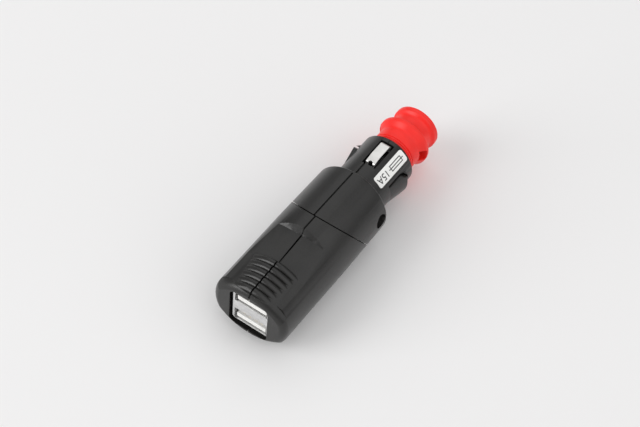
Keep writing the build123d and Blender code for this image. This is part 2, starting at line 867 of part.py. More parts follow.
# Circuit board
with BuildPart() as circuit_board:
    add(block(board_start, board_end, -board_width / 2, board_width / 2, board_bottom, board_top))
    corners = circuit_board.edges().filter_by(Axis.Z)
    fillet(corners, radius=board_thickness)
finish(circuit_board, "circuit_board")

# Shell of the double USB port, hanging from the board
with BuildPart() as usb_shell:
    add(block(usb_setback, usb_end, usb_right, usb_left, lower_floor - usb_wall, board_bottom))
    lower_edges = usb_shell.edges().filter_by(Axis.X).sort_by(Axis.Z)[:2]
    fillet(lower_edges, radius=usb_corner)
    partition_end = usb_setback + port_partition_depth
    for floor in port_floors:
        room = block(usb_setback, partition_end, port_right, port_left, floor, floor + port_height)
        add(room, mode=Mode.SUBTRACT)
    back_room = block(partition_end, usb_end, port_right, port_left, lower_floor, upper_ceiling)
    add(back_room, mode=Mode.SUBTRACT)
finish(usb_shell, "usb_shell")

# Insulator with its two tongues
with BuildPart() as usb_insulator:
    back = block(
        partition_end + part_gap,
        usb_end,
        port_right + part_gap,
        port_left - part_gap,
        lower_floor + part_gap,
        upper_ceiling,
    )
    add(back)
    for floor in port_floors:
        tongue = block(
            usb_setback + tongue_setback,
            usb_end,
            usb_shift - tongue_width / 2,
            usb_shift + tongue_width / 2,
            floor + tongue_gap,
            floor + tongue_gap + tongue_thickness,
        )
        add(tongue)
finish(usb_insulator, "usb_insulator")

# Contact strips on each tongue
for port_name, floor in zip(("upper", "lower"), port_floors):
    strip_bottom = floor + tongue_gap + tongue_thickness
    strip_x = usb_setback + tongue_setback + contact_width + contact_length / 2
    with BuildPart() as usb_contacts:
        with Locations(Plane(place(strip_x, usb_shift, strip_bottom + contact_thickness / 2))):
            with GridLocations(0, contact_pitch, 1, contact_count):
                Box(contact_length, contact_width, contact_thickness)
    finish(usb_contacts, f"usb_contacts_{port_name}")


def board_plane(x, y):
    """Plane on the board's lower face at a place given from the USB end, facing down."""
    return Plane(place(x, y, board_bottom), x_dir=(1, 0, 0), z_dir=(0, 0, -1))


# Ring core of the inductor and its winding
core_section = (core_diameter - core_bore) / 2
core_middle = (core_diameter + core_bore) / 4
core_x = usb_end + part_spacing + core_diameter / 2 + winding_wall
core_y = -(board_width - core_diameter) / 2 + winding_wall + board_edge_gap
core_plane = board_plane(core_x, core_y)
with BuildPart() as inductor_core:
    with BuildSketch(core_plane.offset(winding_wall + part_gap)):
        Circle(core_diameter / 2)
        Circle(core_bore / 2, mode=Mode.SUBTRACT)
    extrude(amount=core_height)
finish(inductor_core, "inductor_core")

with BuildPart() as inductor_winding:
    with Locations(core_plane.offset(winding_wall + part_gap + core_height / 2)):
        with PolarLocations(core_middle, winding_count):
            inner_height = core_height + 2 * part_gap
            inner_width = core_section + 2 * part_gap
            Box(inner_width + 2 * winding_wall, winding_wall, inner_height + 2 * winding_wall)
            Box(inner_width, winding_wall, inner_height, mode=Mode.SUBTRACT)
finish(inductor_winding, "inductor_winding")

# Electrolytic capacitors
capacitor_x = core_x + core_diameter / 2 + winding_wall + part_spacing + capacitor_diameter / 2
capacitor_y = (board_width - capacitor_diameter) / 2 - board_edge_gap
for capacitor_name, side in (("output_capacitor", 1), ("input_capacitor", -1)):
    with BuildPart() as capacitor:
        with BuildSketch(board_plane(capacitor_x, side * capacitor_y)):
            Circle(capacitor_diameter / 2)
        extrude(amount=capacitor_height)
        fillet(capacitor.faces().sort_by(Axis.Z)[0].edges(), radius=capacitor_crimp)
    finish(capacitor, capacitor_name)

# Flat parts soldered on top of the board, beyond the backing of the upper flat
flat_parts = (
    ("converter_chip", 1, chip_length, chip_width, chip_height),
    ("rectifier_diode", -1, diode_length, diode_width, diode_height),
)
for flat_name, side, flat_length, flat_width, flat_height in flat_parts:
    flat_x = backing_end + part_spacing + flat_length / 2
    flat_y = side * (flat_width + part_spacing) / 2
    with BuildPart() as flat_part:
        with BuildSketch(Plane(place(flat_x, flat_y, board_top))):
            Rectangle(flat_length, flat_width)
        extrude(amount=flat_height)
        chamfer(flat_part.faces().sort_by(Axis.Z)[-1].edges(), length=part_chamfer)
    finish(flat_part, flat_name)

# Rows of small chip parts beside the inductor
ceramic_y = board_width / 2 - board_edge_gap - ceramic_length / 2
resistor_y = ceramic_y - (ceramic_length + resistor_length) / 2 - part_spacing
small_parts = (
    ("ceramic_capacitors", ceramic_y, ceramic_length, ceramic_width, ceramic_height),
    ("resistors", resistor_y, resistor_length, resistor_width, resistor_height),
)
for row_name, row_y, small_length, small_width, small_height in small_parts:
    with BuildPart() as small_row:
        with Locations(Plane(place(core_x, row_y, board_bottom - small_height / 2))):
            with GridLocations(small_row_pitch, 0, small_row_count, 1):
                Box(small_width, small_length, small_height)
    finish(small_row, row_name)
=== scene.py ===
import json
import math

import bmesh
import bpy
from bpy.props import FloatProperty, FloatVectorProperty, IntProperty, PointerProperty, StringProperty
from bpy.types import Operator, Panel, PropertyGroup
from mathutils import Matrix, Vector

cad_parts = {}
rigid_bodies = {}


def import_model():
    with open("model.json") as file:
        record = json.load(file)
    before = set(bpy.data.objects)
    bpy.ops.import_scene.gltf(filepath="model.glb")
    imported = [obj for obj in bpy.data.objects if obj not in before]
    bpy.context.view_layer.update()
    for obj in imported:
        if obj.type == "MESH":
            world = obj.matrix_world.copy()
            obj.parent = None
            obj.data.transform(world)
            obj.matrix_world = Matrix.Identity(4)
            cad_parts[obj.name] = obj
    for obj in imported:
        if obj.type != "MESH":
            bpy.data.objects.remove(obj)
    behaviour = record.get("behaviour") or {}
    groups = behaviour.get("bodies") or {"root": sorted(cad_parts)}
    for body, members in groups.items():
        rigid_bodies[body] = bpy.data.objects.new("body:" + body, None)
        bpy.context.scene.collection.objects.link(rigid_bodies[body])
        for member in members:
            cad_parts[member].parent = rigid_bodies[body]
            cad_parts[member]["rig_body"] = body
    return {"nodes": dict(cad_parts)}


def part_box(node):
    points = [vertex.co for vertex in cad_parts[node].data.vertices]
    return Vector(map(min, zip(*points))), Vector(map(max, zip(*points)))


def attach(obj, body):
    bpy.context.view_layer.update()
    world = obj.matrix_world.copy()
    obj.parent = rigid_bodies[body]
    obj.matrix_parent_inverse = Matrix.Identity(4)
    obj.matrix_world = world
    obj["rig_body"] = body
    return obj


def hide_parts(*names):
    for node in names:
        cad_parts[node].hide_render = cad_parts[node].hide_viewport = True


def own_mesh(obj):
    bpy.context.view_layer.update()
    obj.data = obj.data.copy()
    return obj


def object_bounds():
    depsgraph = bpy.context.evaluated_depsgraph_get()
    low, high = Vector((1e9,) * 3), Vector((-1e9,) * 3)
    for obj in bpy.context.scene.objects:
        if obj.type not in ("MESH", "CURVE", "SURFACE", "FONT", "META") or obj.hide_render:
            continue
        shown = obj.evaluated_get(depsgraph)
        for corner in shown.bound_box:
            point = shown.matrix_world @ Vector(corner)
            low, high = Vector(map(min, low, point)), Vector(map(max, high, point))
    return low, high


bl_info = {
    "name": "Car USB charger plug",
    "version": (1, 0, 0),
    "blender": (4, 5, 0),
    "location": "View3D > Sidebar > Charger plug",
    "description": "Finishes the packed charger plug and sets it on a plain studio floor",
    "category": "Object",
}

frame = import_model()
cad_low, cad_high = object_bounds()

MERGE_DISTANCE = 1e-6
COPLANAR_ANGLE = math.radians(0.2)
SHARP_ANGLE = math.radians(16.0)
BEVEL_ANGLE = math.radians(26.0)
CUT_COUNT = 5
INK_LIFT = 0.000004
BAR_STEP = 0.0003
# Height of a digit as a share of the font's size
DIGIT_SHARE = 0.7
# Widths of the softened edges in metres
FINE_EDGE = 0.0001
PIN_EDGE = 0.00012
PORT_EDGE = 0.00008
STRIP_EDGE = 0.00005
CHIP_EDGE = 0.00006
CERAMIC_EDGE = 0.00008
CORE_EDGE = 0.0004
# How far the side lights are turned towards the camera
LEFT_NEARER = 0.42
RIGHT_NEARER = 0.8
BOX_DISTANCE = 3.6
FLOOR_HALF = 6.0
SENSOR_WIDTH = 36.0
CLIP_START = 0.01
AXIS_HEIGHT = (cad_low.z + cad_high.z) / 2


# Properties that a user may change


def length_property(name, default, description):
    """Length in metres, shown in the scene's units."""
    return FloatProperty(
        name=name, description=description, default=default, min=0.0, unit="LENGTH", precision=5
    )


def share_property(name, default, description):
    """Plain share between nothing and one."""
    return FloatProperty(
        name=name, description=description, default=default, min=0.0, max=1.0, subtype="FACTOR"
    )


def strength_property(name, default, description):
    """Strength of a lamp."""
    return FloatProperty(name=name, description=description, default=default, min=0.0)


def angle_property(name, degrees, description):
    """Angle, given here in degrees."""
    return FloatProperty(name=name, description=description, default=math.radians(degrees), subtype="ANGLE")


def colour_property(name, default, description):
    """Linear colour."""
    return FloatVectorProperty(
        name=name, description=description, default=default, subtype="COLOR", min=0.0, max=1.0
    )


class HousingProperties(PropertyGroup):
    """Sizes and colours of the black mouldings."""

    shade: colour_property("Shade", (0.0085, 0.0081, 0.0077), "Darker tone of the black plastic")
    light: colour_property("Light", (0.0140, 0.0134, 0.0126), "Lighter tone of the black plastic")
    grain: length_property("Grain", 0.00022, "Size of the eroded mould texture")
    grain_depth: length_property("Grain depth", 0.000018, "Depth of the eroded mould texture")
    roughness: share_property("Roughness", 0.29, "Roughness of the black plastic")
    edge: length_property("Edge", 0.00028, "Width of the softened edges")


class AdapterProperties(PropertyGroup):
    """Colours of the red adapter."""

    shade: colour_property("Shade", (0.87, 0.016, 0.011), "Darker tone of the red plastic")
    light: colour_property("Light", (0.97, 0.022, 0.014), "Lighter tone of the red plastic")
    roughness: share_property("Roughness", 0.36, "Roughness of the red plastic")
    edge: length_property("Edge", 0.00015, "Width of the softened edges")


class LabelProperties(PropertyGroup):
    """Sizes, colours and marks of the rating label."""

    film: colour_property("Film", (0.93, 0.93, 0.91), "Colour of the label film")
    ink: colour_property("Ink", (0.012, 0.012, 0.013), "Colour of the printed marks")
    line: length_property("Line", 0.00030, "Width of the printed lines")
    symbol_length: length_property("Symbol length", 0.0060, "Length of the fuse symbol's box")
    symbol_width: length_property("Symbol width", 0.0019, "Width of the fuse symbol's box")
    symbol_place: length_property(
        "Symbol place", 0.0111, "Middle of the fuse symbol from the label's rear edge"
    )
    wire_reach: length_property("Wire reach", 0.0010, "Length of the line beyond each end of the box")
    number: StringProperty(name="Number", description="Fuse rating on the label", default="15A")
    number_height: length_property("Number height", 0.0025, "Height of the rating's digits")
    number_place: length_property("Number place", 0.0036, "Middle of the rating from the label's rear edge")
    ink_thickness: length_property("Ink thickness", 0.00002, "Thickness of the printed layer")


class MetalProperties(PropertyGroup):
    """Colours of the metal pieces."""

    nickel: colour_property("Nickel", (0.90, 0.89, 0.87), "Colour of nickel plate")
    steel: colour_property("Steel", (0.82, 0.82, 0.82), "Colour of the port's tinned steel")
    brass: colour_property("Brass", (0.80, 0.60, 0.28), "Colour of brass")
    copper: colour_property("Copper", (0.72, 0.30, 0.14), "Colour of enamelled copper")
    gold: colour_property("Gold", (0.85, 0.62, 0.24), "Colour of gold plate")


class InductorProperties(PropertyGroup):
    """Sizes of the inductor's winding."""

    turns: IntProperty(name="Turns", description="Turns of wire round the core", default=14, min=3, max=40)
    wire: length_property("Wire", 0.0007, "Diameter of the wire")


class StageProperties(PropertyGroup):
    """Floor, lights and camera."""

    floor: colour_property("Floor", (0.87, 0.865, 0.865), "Colour of the floor")
    fill: share_property("Fill", 0.42, "Strength of the light from all round")
    left: strength_property("Left", 75.0, "Power in watts of the soft box at the left")
    left_rise: angle_property("Left rise", 27.0, "Height of the soft box at the left above the floor")
    left_width: length_property("Left width", 1.92, "Width of the soft box at the left")
    left_height: length_property("Left height", 3.2, "Length of the soft box at the left from foot to top")
    right: strength_property("Right", 1.1, "Strength of the soft light from the right")
    right_rise: angle_property("Right rise", 51.0, "Height of the light from the right above the floor")
    right_spread: angle_property("Right spread", 90.0, "Width of the light from the right")
    back: strength_property("Back", 0.32, "Strength of the soft light from behind")
    back_rise: angle_property("Back rise", 52.0, "Height of the light from behind above the floor")
    back_spread: angle_property("Back spread", 50.0, "Width of the light from behind")
    camera_place: FloatVectorProperty(
        name="Camera place",
        description="Where the camera stands",
        default=(-0.30474, -0.17021, 0.46127),
        subtype="TRANSLATION",
        unit="LENGTH",
        precision=5,
    )
    camera_yaw: angle_property("Camera yaw", 30.197, "Turn of the camera from the plug's axis")
    camera_pitch: angle_property("Camera pitch", 52.105, "How far the camera looks down")
    camera_roll: angle_property("Camera roll", 5.737, "Turn of the camera about its own line of sight")
    lens: FloatProperty(name="Lens", description="Focal length", default=96.89, min=1.0, unit="CAMERA")


class PlugProperties(PropertyGroup):
    """All the properties of the plug."""

    housing: PointerProperty(type=HousingProperties, name="Housing", description="Black mouldings")
    adapter: PointerProperty(type=AdapterProperties, name="Adapter", description="Red adapter")
    label: PointerProperty(type=LabelProperties, name="Label", description="Rating label")
    metal: PointerProperty(type=MetalProperties, name="Metal", description="Metal pieces")
    inductor: PointerProperty(type=InductorProperties, name="Inductor", description="Inductor")
    stage: PointerProperty(type=StageProperties, name="Stage", description="Floor, lights and camera")


# Finishes


class Finish:
    """A material in the making: its shader, and the patterns that vary it over the surface."""

    def __init__(self, name, roughness=0.5, metallic=0.0):
        self.material = bpy.data.materials.new(name)
        self.material.use_nodes = True
        self.nodes = self.material.node_tree.nodes
        self.links = self.material.node_tree.links
        self.shader = self.nodes["Principled BSDF"]
        self.set("Roughness", roughness)
        self.set("Metallic", metallic)
        self.place = self.nodes.new("ShaderNodeTexCoord").outputs["Object"]

    def set(self, socket, value):
        """Constant on the shader's own socket."""
        self.shader.inputs[socket].default_value = value

    def mapped(self, scale):
        """Object coordinates, stretched."""
        mapping = self.nodes.new("ShaderNodeMapping")
        mapping.vector_type = "POINT"
        mapping.inputs["Scale"].default_value = scale
        self.links.new(self.place, mapping.inputs["Vector"])
        return mapping.outputs["Vector"]

    def noise(self, size, detail=2.0, stretch=None):
        """Cloudy pattern with patches of about this size in metres."""
        texture = self.nodes.new("ShaderNodeTexNoise")
        texture.inputs["Scale"].default_value = 1.0 / size
        texture.inputs["Detail"].default_value = detail
        source = self.mapped(stretch) if stretch else self.place
        self.links.new(source, texture.inputs["Vector"])
        return texture.outputs["Fac"]

    def cells(self, size):
        """Distance pattern of cells of about this size in metres."""
        texture = self.nodes.new("ShaderNodeTexVoronoi")
        texture.inputs["Scale"].default_value = 1.0 / size
        self.links.new(self.place, texture.inputs["Vector"])
        return texture.outputs["Distance"]

    def ramp(self, value, *stops):
        """Colour that follows a pattern through the given stops."""
        node = self.nodes.new("ShaderNodeValToRGB")
        elements = node.color_ramp.elements
        while len(elements) < len(stops):
            elements.new(1.0)
        for element, (position, colour) in zip(elements, stops):
            element.position = position
            element.color = (*colour, 1.0)
        self.links.new(value, node.inputs["Fac"])
        return node.outputs["Color"]

    def range(self, value, low, high):
        """Number that follows a pattern between two ends."""
        node = self.nodes.new("ShaderNodeMapRange")
        node.inputs["To Min"].default_value = low
        node.inputs["To Max"].default_value = high
        self.links.new(value, node.inputs["Value"])
        return node.outputs["Result"]

    def sum(self, first, second):
        """Two patterns added."""
        node = self.nodes.new("ShaderNodeMath")
        node.operation = "ADD"
        self.links.new(first, node.inputs[0])
        self.links.new(second, node.inputs[1])
        return node.outputs["Value"]

    def flecked(self, factor, ground, fleck):
        """Varied ground colour with flecks of one plain colour where the factor is high."""
        node = self.nodes.new("ShaderNodeMix")
        node.data_type = "RGBA"
        self.links.new(factor, node.inputs["Factor"])
        self.links.new(ground, node.inputs["A"])
        node.inputs["B"].default_value = (*fleck, 1.0)
        return node.outputs["Result"]

    def colour(self, source):
        """Base colour from a pattern."""
        self.links.new(source, self.shader.inputs["Base Color"])

    def roughness(self, source):
        """Roughness from a pattern."""
        self.links.new(source, self.shader.inputs["Roughness"])

    def relief(self, value, depth, strength):
        """Fine relief of the surface, with its depth in metres."""
        node = self.nodes.new("ShaderNodeBump")
        node.inputs["Strength"].default_value = strength
        node.inputs["Distance"].default_value = depth
        self.links.new(value, node.inputs["Height"])
        self.links.new(node.outputs["Normal"], self.shader.inputs["Normal"])


def moulded_black(housing):
    """Charcoal plastic with the fine grain of an eroded mould and a little dust."""
    finish = Finish("moulded_black")
    cloud = finish.noise(0.009, 3.0)
    grain = finish.noise(housing.grain, 3.0)
    tone = finish.ramp(cloud, (0.3, tuple(housing.shade)), (0.7, tuple(housing.light)))
    dust = tuple(4.0 * part for part in housing.light)
    speck = finish.ramp(finish.cells(0.0021), (0.0, (0.5, 0.5, 0.5)), (0.045, (0.0, 0.0, 0.0)))
    finish.colour(finish.flecked(speck, tone, dust))
    finish.roughness(finish.range(grain, housing.roughness - 0.06, housing.roughness + 0.08))
    finish.relief(finish.sum(grain, finish.cells(housing.grain * 1.7)), housing.grain_depth, 0.55)
    return finish.material


def moulded_red(adapter):
    """Glossy red plastic with slight flow marks round the axis."""
    finish = Finish("moulded_red")
    flow = finish.noise(0.006, 2.0, (2.5, 1.0, 1.0))
    grain = finish.noise(0.00018, 2.0)
    finish.colour(finish.ramp(flow, (0.25, tuple(adapter.shade)), (0.75, tuple(adapter.light))))
    finish.roughness(finish.range(grain, adapter.roughness - 0.05, adapter.roughness + 0.07))
    finish.relief(finish.sum(grain, flow), 0.000012, 0.4)
    finish.set("Specular IOR Level", 0.4)
    return finish.material


def label_film(label):
    """White printed film with faint fibres."""
    finish = Finish("label_film", 0.42)
    film = tuple(label.film)
    fibres = finish.noise(0.0005, 3.0, (0.4, 1.0, 1.0))
    worn = tuple(0.94 * part for part in film)
    finish.colour(finish.ramp(fibres, (0.3, worn), (0.6, film)))
    finish.roughness(finish.range(fibres, 0.36, 0.5))
    finish.relief(fibres, 0.000008, 0.3)
    return finish.material


def label_ink(label):
    """Black print with slight mottling."""
    finish = Finish("label_ink", 0.5)
    ink = tuple(label.ink)
    mottle = finish.noise(0.0003, 2.0)
    finish.colour(finish.ramp(mottle, (0.35, ink), (0.8, tuple(2.2 * part for part in ink))))
    finish.roughness(finish.range(mottle, 0.42, 0.6))
    return finish.material


def drawn_metal(name, colour, roughness, stretch=(0.06, 1.0, 1.0), line=0.00012):
    """Plated or rolled metal with fine lines along one direction."""
    finish = Finish(name, roughness, 1.0)
    colour = tuple(colour)
    lines = finish.noise(line, 2.0, stretch)
    stain = finish.noise(0.003, 3.0)
    dull = tuple(0.86 * part for part in colour)
    finish.colour(finish.ramp(stain, (0.3, dull), (0.65, colour)))
    finish.roughness(finish.range(lines, roughness - 0.08, roughness + 0.1))
    finish.relief(lines, 0.000006, 0.35)
    return finish.material


def moulded_white():
    """White insulating plastic."""
    finish = Finish("moulded_white")
    cloud = finish.noise(0.002, 2.0)
    grain = finish.noise(0.0002, 2.0)
    finish.colour(finish.ramp(cloud, (0.3, (0.86, 0.855, 0.83)), (0.7, (0.92, 0.915, 0.89))))
    finish.roughness(finish.range(grain, 0.36, 0.5))
    finish.relief(grain, 0.000008, 0.3)
    return finish.material


def clear_glass():
    """Clear glass of the fuse, with faint drawing lines."""
    finish = Finish("clear_glass", 0.03)
    finish.set("Transmission Weight", 1.0)
    finish.set("IOR", 1.5)
    lines = finish.noise(0.0006, 1.0, (0.05, 1.0, 1.0))
    finish.colour(finish.ramp(lines, (0.3, (0.93, 0.96, 0.95)), (0.7, (0.98, 0.99, 0.99))))
    finish.roughness(finish.range(lines, 0.01, 0.06))
    return finish.material


def lead_sleeve(name, shade, light):
    """Soft wire insulation with a slight sheen."""
    finish = Finish(name)
    cloud = finish.noise(0.0015, 2.0)
    finish.colour(finish.ramp(cloud, (0.3, shade), (0.7, light)))
    finish.roughness(finish.range(cloud, 0.38, 0.52))
    finish.relief(finish.noise(0.00025, 2.0), 0.00001, 0.3)
    return finish.material


def board_mask():
    """Green solder mask over copper tracks."""
    finish = Finish("board_mask")
    tracks = finish.nodes.new("ShaderNodeTexBrick")
    tracks.inputs["Scale"].default_value = 1.0
    tracks.inputs["Brick Width"].default_value = 0.0062
    tracks.inputs["Row Height"].default_value = 0.0017
    tracks.inputs["Mortar Size"].default_value = 0.00028
    tracks.inputs["Color1"].default_value = (0.008, 0.085, 0.035, 1.0)
    tracks.inputs["Color2"].default_value = (0.010, 0.105, 0.042, 1.0)
    tracks.inputs["Mortar"].default_value = (0.004, 0.045, 0.020, 1.0)
    finish.links.new(finish.place, tracks.inputs["Vector"])
    finish.colour(tracks.outputs["Color"])
    finish.roughness(finish.range(finish.noise(0.0008, 2.0), 0.22, 0.36))
    finish.relief(tracks.outputs["Fac"], 0.00003, 0.5)
    return finish.material


def core_coating():
    """Yellow coating of the iron powder core, with pores."""
    finish = Finish("core_coating")
    cloud = finish.noise(0.0012, 3.0)
    finish.colour(finish.ramp(cloud, (0.3, (0.62, 0.42, 0.05)), (0.7, (0.78, 0.56, 0.09))))
    finish.roughness(finish.range(cloud, 0.4, 0.6))
    finish.relief(finish.noise(0.0002, 3.0), 0.00003, 0.5)
    return finish.material


def chip_epoxy():
    """Black moulding compound of the flat parts."""
    finish = Finish("chip_epoxy")
    grain = finish.noise(0.00015, 3.0)
    finish.colour(finish.ramp(grain, (0.3, (0.012, 0.012, 0.013)), (0.7, (0.026, 0.026, 0.027))))
    finish.roughness(finish.range(grain, 0.5, 0.66))
    finish.relief(grain, 0.00001, 0.5)
    return finish.material


def fired_ceramic():
    """Tan ceramic between tinned ends."""
    finish = Finish("fired_ceramic")
    grain = finish.noise(0.0003, 3.0)
    finish.colour(finish.ramp(grain, (0.3, (0.42, 0.30, 0.19)), (0.7, (0.55, 0.41, 0.27))))
    finish.roughness(finish.range(grain, 0.4, 0.55))
    finish.relief(grain, 0.000012, 0.4)
    return finish.material


# Pieces


def add_piece(name, mesh, body, slot, material, *nodes):
    """Object that rides on a body and stands for the given nodes."""
    mesh.materials.clear()
    mesh.materials.append(material)
    piece = bpy.data.objects.new(name, mesh)
    bpy.context.scene.collection.objects.link(piece)
    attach(piece, body)
    if nodes:
        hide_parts(*nodes)
    return piece


def merged_copy(node):
    """Mesh of a CAD node with its triangles joined and flat faces made whole."""
    shape = bmesh.new()
    shape.from_mesh(frame["nodes"][node].data)
    bmesh.ops.remove_doubles(shape, verts=shape.verts, dist=MERGE_DISTANCE)
    bmesh.ops.dissolve_limit(
        shape,
        angle_limit=COPLANAR_ANGLE,
        verts=shape.verts,
        edges=shape.edges,
        use_dissolve_boundaries=False,
    )
    for face in shape.faces:
        face.smooth = True
    mesh = bpy.data.meshes.new(node)
    shape.to_mesh(mesh)
    shape.free()
    mesh.set_sharp_from_angle(angle=SHARP_ANGLE)
    return mesh


def dress(node, slot, material, edge=0.0):
    """Smooth copy of a CAD node with its finish and softened edges."""
    body = frame["nodes"][node]["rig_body"]
    piece = add_piece(f"{node}_piece", merged_copy(node), body, slot, material, node)
    if edge:
        soften(piece, edge)
    return piece


def soften(piece, width):
    """Narrow rounding along every sharp edge."""
    bevel = piece.modifiers.new("soft_edges", "BEVEL")
    bevel.width = width
    bevel.segments = 2
    bevel.limit_method = "ANGLE"
    bevel.angle_limit = BEVEL_ANGLE
    bevel.harden_normals = True
    bevel.use_clamp_overlap = True


class HousingShells(Operator):
    """Finish the four black shells of the housing"""

    bl_idname = "plug.housing_shells"
    bl_label = "Housing shells"

    def execute(self, context):
        housing = context.scene.plug.housing
        material = moulded_black(housing)
        for node in ("rear_shell_left", "rear_shell_right", "front_shell_left", "front_shell_right"):
            dress(node, "body_plastic", material, housing.edge)
        return {"FINISHED"}


class HousingScrew(Operator):
    """Finish the screw in the side of the housing"""

    bl_idname = "plug.housing_screw"
    bl_label = "Housing screw"

    def execute(self, context):
        metal = context.scene.plug.metal
        material = drawn_metal("screw_plate", metal.nickel, 0.34, (1.0, 0.2, 1.0))
        dress("housing_screw", "screw_steel", material, FINE_EDGE)
        return {"FINISHED"}


class BayonetAdapter(Operator):
    """Finish the red adapter"""

    bl_idname = "plug.bayonet_adapter"
    bl_label = "Bayonet adapter"

    def execute(self, context):
        adapter = context.scene.plug.adapter
        dress("bayonet_adapter", "red_plastic", moulded_red(adapter), adapter.edge)
        return {"FINISHED"}


class LeafContacts(Operator):
    """Finish the two leaf contacts and the ring that joins them"""

    bl_idname = "plug.leaf_contacts"
    bl_label = "Leaf contacts"

    def execute(self, context):
        metal = context.scene.plug.metal
        nickel = drawn_metal("leaf_nickel", metal.nickel, 0.42)
        dress("contact_spring_top", "nickel", nickel, FINE_EDGE)
        dress("contact_spring_bottom", "nickel", nickel, FINE_EDGE)
        dress("ground_ring", "brass_plate", drawn_metal("ring_brass", metal.brass, 0.32), FINE_EDGE)
        return {"FINISHED"}


class CentrePin(Operator):
    """Finish the sprung tip, the fuse behind it and the coil spring"""

    bl_idname = "plug.centre_pin"
    bl_label = "Centre pin"

    def execute(self, context):
        metal = context.scene.plug.metal
        nickel = drawn_metal("pin_nickel", metal.nickel, 0.26, (1.0, 0.2, 0.2))
        dress("tip_contact", "nickel", nickel, PIN_EDGE)
        dress("fuse_caps", "nickel", nickel, FINE_EDGE)
        dress("fuse_glass", "fuse_glass", clear_glass())
        dress("fuse_wire", "copper", drawn_metal("fuse_copper", metal.copper, 0.3))
        brass = drawn_metal("terminal_brass", metal.brass, 0.34)
        dress("spring_terminal", "brass_plate", brass, FINE_EDGE)
        steel = drawn_metal("spring_steel", metal.steel, 0.28, (1.0, 0.3, 0.3))
        squash_spring(dress("tip_spring", "spring_wire", steel))
        return {"FINISHED"}


def squash_spring(spring):
    """Give the coil spring its own copy of its mesh."""
    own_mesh(spring)


class UsbPort(Operator):
    """Finish the double USB port"""

    bl_idname = "plug.usb_port"
    bl_label = "USB port"

    def execute(self, context):
        metal = context.scene.plug.metal
        dress("usb_shell", "port_steel", drawn_metal("port_tin", metal.steel, 0.3), PORT_EDGE)
        dress("usb_insulator", "port_white", moulded_white(), FINE_EDGE)
        gold = drawn_metal("contact_gold", metal.gold, 0.24)
        dress("usb_contacts_upper", "gold_plate", gold, STRIP_EDGE)
        dress("usb_contacts_lower", "gold_plate", gold, STRIP_EDGE)
        return {"FINISHED"}


class CircuitBoard(Operator):
    """Finish the circuit board and what stands on it"""

    bl_idname = "plug.circuit_board"
    bl_label = "Circuit board"

    def execute(self, context):
        dress("circuit_board", "board_green", board_mask(), FINE_EDGE)
        can = drawn_metal("can_aluminium", (0.78, 0.79, 0.80), 0.34, (1.0, 1.0, 0.1))
        dress("input_capacitor", "can_aluminium", can)
        dress("output_capacitor", "can_aluminium", can)
        epoxy = chip_epoxy()
        for node in ("converter_chip", "rectifier_diode", "resistors"):
            dress(node, "chip_black", epoxy, CHIP_EDGE)
        dress("ceramic_capacitors", "ceramic_tan", fired_ceramic(), CERAMIC_EDGE)
        return {"FINISHED"}


class Leads(Operator):
    """Finish the two leads inside the housing"""

    bl_idname = "plug.leads"
    bl_label = "Leads"

    def execute(self, context):
        black = lead_sleeve("lead_black", (0.012, 0.012, 0.012), (0.026, 0.026, 0.026))
        red = lead_sleeve("lead_red", (0.40, 0.012, 0.010), (0.52, 0.020, 0.016))
        dress("ground_lead", "lead_black", black)
        dress("supply_lead", "lead_red", red)
        return {"FINISHED"}


def tree_input(tree, name, kind, value):
    """Named input of a node tree, with its default."""
    socket = tree.interface.new_socket(name, in_out="INPUT", socket_type=kind)
    socket.default_value = value


